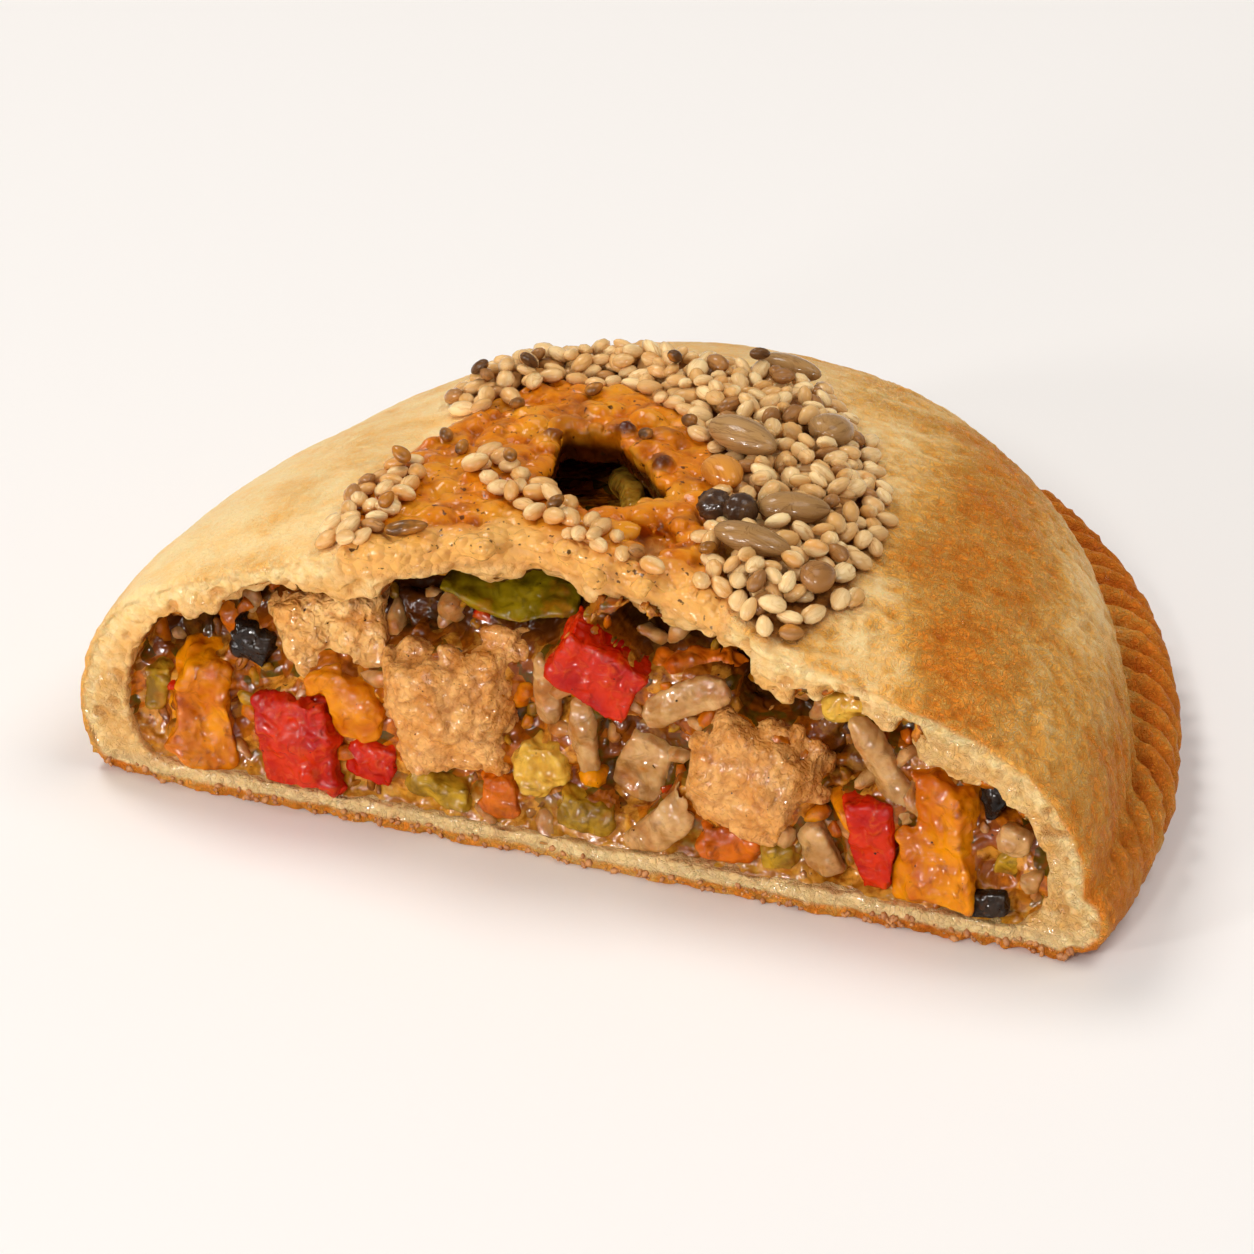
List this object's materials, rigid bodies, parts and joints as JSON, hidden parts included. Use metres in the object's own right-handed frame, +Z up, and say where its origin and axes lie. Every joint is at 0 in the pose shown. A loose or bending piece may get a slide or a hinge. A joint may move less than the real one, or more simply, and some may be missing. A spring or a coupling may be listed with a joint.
{
  "type": "empanada half",
  "caption": "Half of a large baked empanada with a crimped edge, a seeded vent and a chunky chicken and vegetable filling showing at the cut.",
  "frame": {"origin": "on the surface the half rests on, under the middle of its box", "axes": "+X along the cut face towards the crimped end, +Y away from the cut into the half, +Z up"},
  "size_m": [0.1199, 0.1007, 0.0376],
  "materials": {
    "pastry": "baked golden crust, dry and slightly flaky, cream crumb at the cut",
    "sauce": "wet brown-orange gravy with small bits",
    "chicken": "cooked meat, fibrous, wetted by sauce",
    "pale_chicken": "pale cooked meat, moist",
    "squash": "soft cooked squash, moist",
    "carrot": "cooked carrot, moist",
    "pepper": "cooked red pepper, glossy skin",
    "onion": "translucent cooked onion",
    "zucchini": "cooked green vegetable, moist",
    "leek": "wilted green leaf, wet",
    "char": "browned almost black, wet"
  },
  "bodies": {
    "root": {"pastry_shell": "pastry", "filling_heap": "sauce", "chicken_left": "chicken", "chicken_right": "chicken", "chicken_pale": "pale_chicken", "pepper_left": "pepper", "pepper_mid": "pepper", "pepper_right": "pepper", "pepper_small": "pepper", "onion_mid": "onion", "onion_right": "onion", "onion_stem": "onion", "onion_curved": "onion", "onion_upright": "onion", "onion_flake": "onion", "onion_low": "onion", "onion_dice": "onion", "onion_tip": "onion", "squash_left": "squash", "squash_right": "squash", "squash_mid": "squash", "carrot_mid": "carrot", "carrot_low": "carrot", "carrot_left": "carrot", "carrot_back_left": "carrot", "carrot_back_right": "carrot", "leek_leaf": "leek", "zucchini_yellow": "zucchini", "zucchini_dark": "zucchini", "zucchini_flat": "zucchini", "zucchini_pale": "zucchini", "zucchini_left": "zucchini", "zucchini_right": "zucchini", "mushroom_dark": "char", "mushroom_left": "sauce", "char_right": "char", "skin_right": "char", "bean_right": "zucchini", "bean_vent": "zucchini"}
  },
  "joints": []
}
